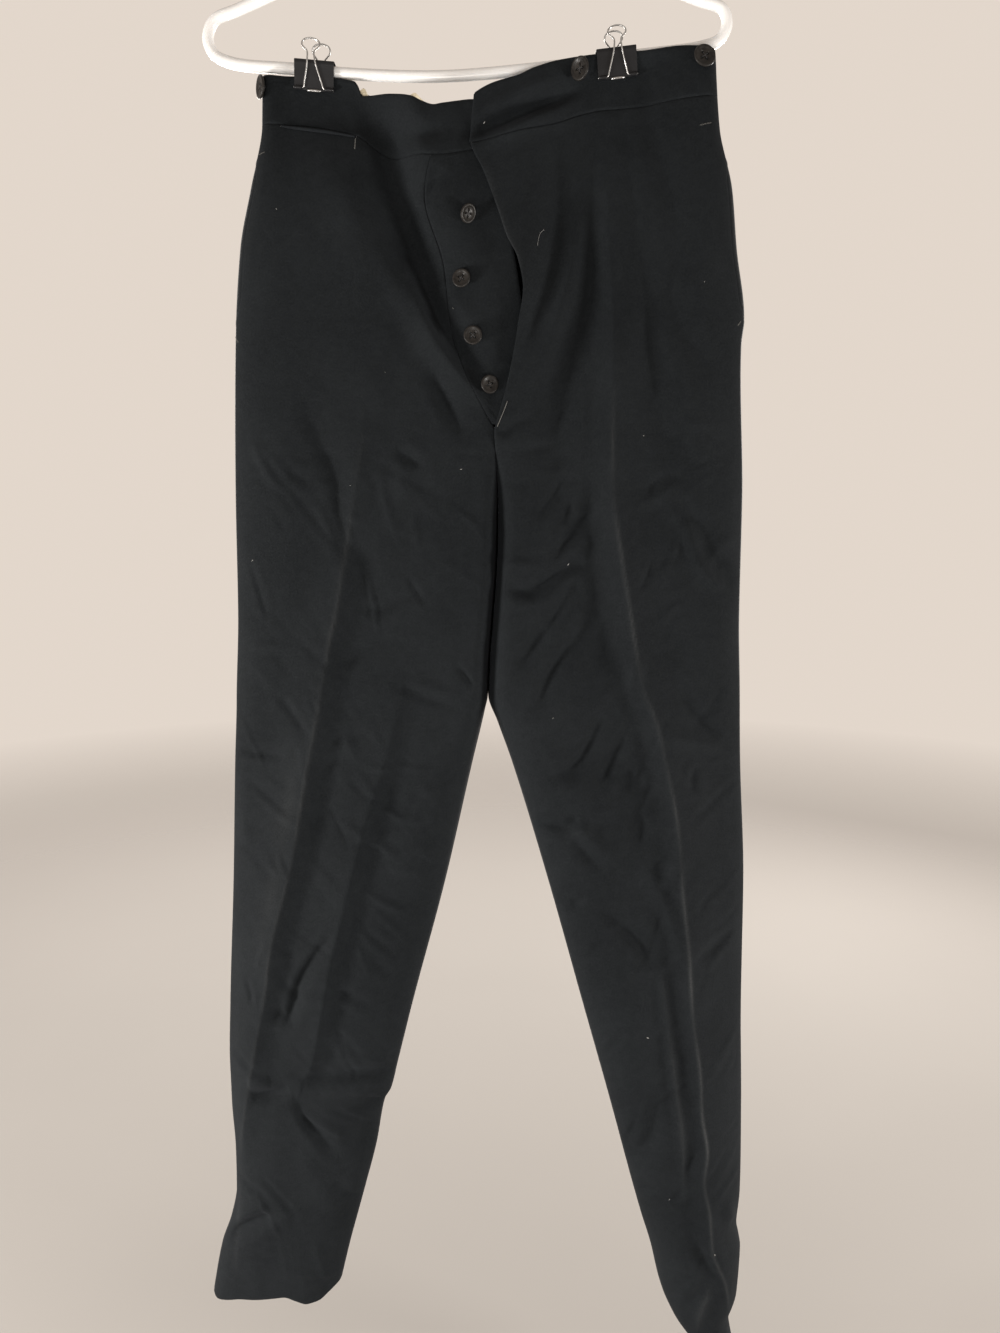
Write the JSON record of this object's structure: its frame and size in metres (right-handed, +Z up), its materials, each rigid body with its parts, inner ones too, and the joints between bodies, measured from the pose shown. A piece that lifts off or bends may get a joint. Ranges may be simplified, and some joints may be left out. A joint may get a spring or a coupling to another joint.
{
  "type": "dress trousers on a clip hanger",
  "caption": "High-waisted dress trousers with an open button fly, hung by the waistband from two spring clips on a tubular hanger.",
  "frame": {"origin": "inside top of the hanger's hook, where a rod carries it", "axes": "+Z up, +X to the right of someone who looks at the front, front faces -Y"},
  "size_m": [0.5113, 0.0743, 1.3748],
  "materials": {
    "wool": "matt black worsted wool",
    "lining": "cream twill",
    "button": "dark brown-grey, satin",
    "hanger_plastic": "white, smooth",
    "clip_steel": "black gloss enamel",
    "clip_wire": "bright nickel"
  },
  "bodies": {
    "root": {"front_left": "wool", "front_right": "wool", "back_left": "wool", "back_right": "wool", "waistband_front_left": "wool", "waistband_front_right": "wool", "waistband_back_left": "wool", "waistband_back_right": "wool", "fly_underlap": "wool", "watch_pocket_welt": "wool", "side_pocket_facing_left": "wool", "side_pocket_facing_right": "wool", "waistband_lining": "lining", "fly_button_1": "button", "fly_button_2": "button", "fly_button_3": "button", "fly_button_4": "button", "brace_button_left": "button", "brace_button_mid": "button", "brace_button_right": "button", "hanger": "hanger_plastic", "clip_left_body": "clip_steel", "clip_left_handle_front": "clip_wire", "clip_left_handle_back": "clip_wire", "clip_right_body": "clip_steel", "clip_right_handle_front": "clip_wire", "clip_right_handle_back": "clip_wire"}
  },
  "joints": []
}
